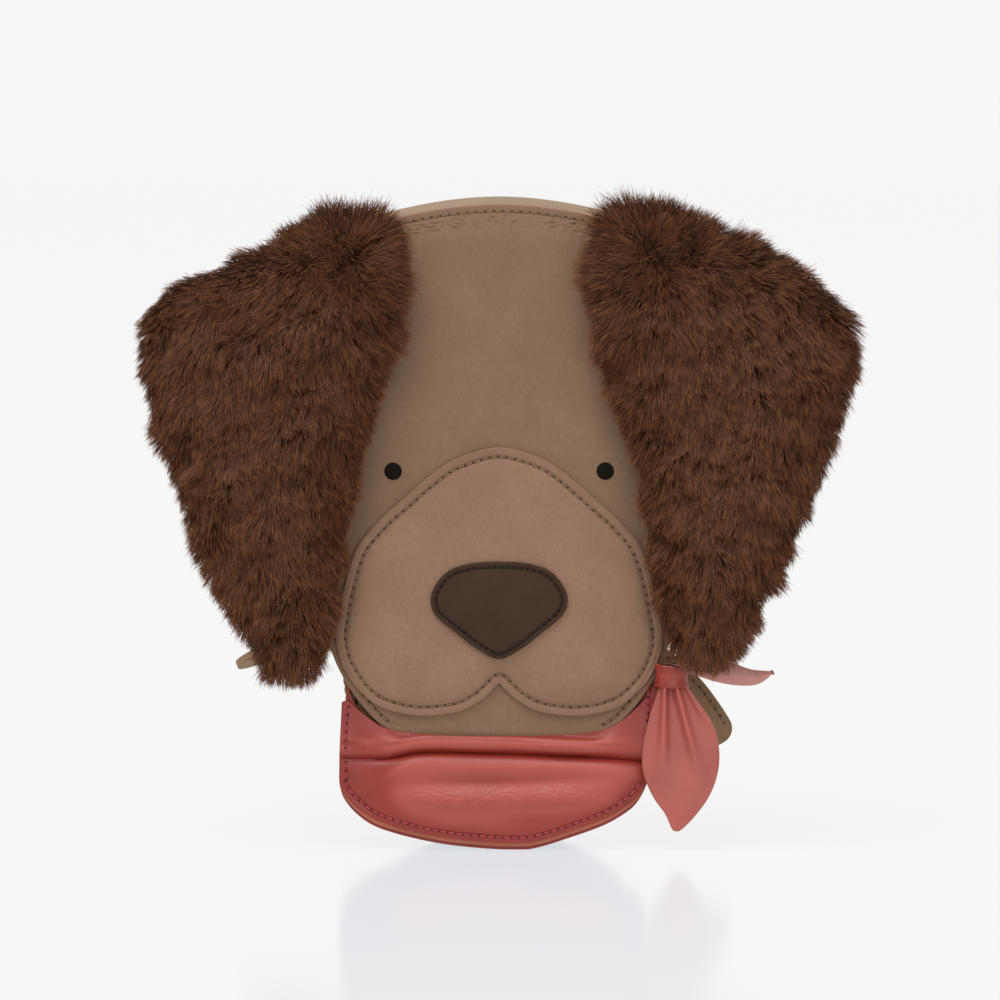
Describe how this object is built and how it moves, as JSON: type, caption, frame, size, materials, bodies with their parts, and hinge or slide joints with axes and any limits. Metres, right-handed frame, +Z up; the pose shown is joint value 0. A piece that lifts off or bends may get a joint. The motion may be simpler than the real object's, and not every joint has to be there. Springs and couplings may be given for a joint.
{
  "type": "animal-face children's bag",
  "caption": "Small stitched leather bag shaped like a puppy's head: a face flap with plush ears over a pouch with a knotted scarf and buckled straps.",
  "frame": {"origin": "on the floor, under the middle of the pouch", "axes": "+X across the face towards the knotted scarf, the face looks along -Y, +Z up"},
  "size_m": [0.2291, 0.1011, 0.2142],
  "materials": {
    "body_leather": "nubuck",
    "face_leather": "nubuck",
    "muzzle_leather": "nubuck",
    "nose_suede": "suede",
    "eye_black": "satin",
    "plush": "faux fur",
    "ear_suede": "suede",
    "red_leather": "smooth waxed",
    "strap_leather": "smooth",
    "lining": "cotton weave",
    "buckle_brass": "satin",
    "snap_metal": "satin"
  },
  "bodies": {
    "pouch": {"gusset": "body_leather", "front_panel": "body_leather", "back_panel": "body_leather", "pouch_lining": "lining", "bandana_backing": "red_leather", "bandana_panel": "red_leather", "bandana_fold": "red_leather", "knot_band": "red_leather", "scarf_tail": "red_leather", "snap_socket": "snap_metal", "anchor_patch": "strap_leather", "hang_loop": "strap_leather", "strap_left": "strap_leather", "strap_right": "strap_leather", "strap_tab_left": "strap_leather", "strap_tab_right": "strap_leather", "buckle_left": "buckle_brass", "buckle_right": "buckle_brass", "keeper_left": "strap_leather", "keeper_right": "strap_leather"},
    "flap": {"flap_crown": "face_leather", "face_panel": "face_leather", "flap_lining": "lining", "muzzle_patch": "muzzle_leather", "nose_patch": "nose_suede", "eye_left": "eye_black", "eye_right": "eye_black", "snap_stud": "snap_metal", "ear_welt_left": "face_leather", "ear_welt_right": "face_leather"},
    "ear_left": {"ear_plush_left": "plush", "ear_back_left": "ear_suede"},
    "ear_right": {"ear_plush_right": "plush", "ear_back_right": "ear_suede"},
    "leaf": {"scarf_leaf": "red_leather"},
    "prong_left": {"prong_left": "buckle_brass"},
    "prong_right": {"prong_right": "buckle_brass"}
  },
  "joints": [
    {"name": "flap_open", "type": "hinge", "parent": "pouch", "child": "flap", "pos_m": [0, 0.0181, 0.2142], "axis": [-1, 0, 0], "range_deg": [0, 160]},
    {"name": "ear_left_lift", "type": "hinge", "parent": "flap", "child": "ear_left", "pos_m": [-0.052, -0.0271, 0.1995], "axis": [-0.8831, 0, -0.4692], "range_deg": [0, 80]},
    {"name": "ear_right_lift", "type": "hinge", "parent": "flap", "child": "ear_right", "pos_m": [0.052, -0.0271, 0.1995], "axis": [-0.8831, 0, 0.4692], "range_deg": [0, 80]},
    {"name": "leaf_swing", "type": "hinge", "parent": "pouch", "child": "leaf", "pos_m": [0.0588, -0.0316, 0.054], "axis": [-1, 0, 0], "range_deg": [0, 75]},
    {"name": "prong_left_turn", "type": "hinge", "parent": "pouch", "child": "prong_left", "pos_m": [-0.048, 0.042, 0.088], "axis": [-1, 0, 0], "range_deg": [0, 35]},
    {"name": "prong_right_turn", "type": "hinge", "parent": "pouch", "child": "prong_right", "pos_m": [0.048, 0.042, 0.074], "axis": [-1, 0, 0], "range_deg": [0, 35]}
  ]
}
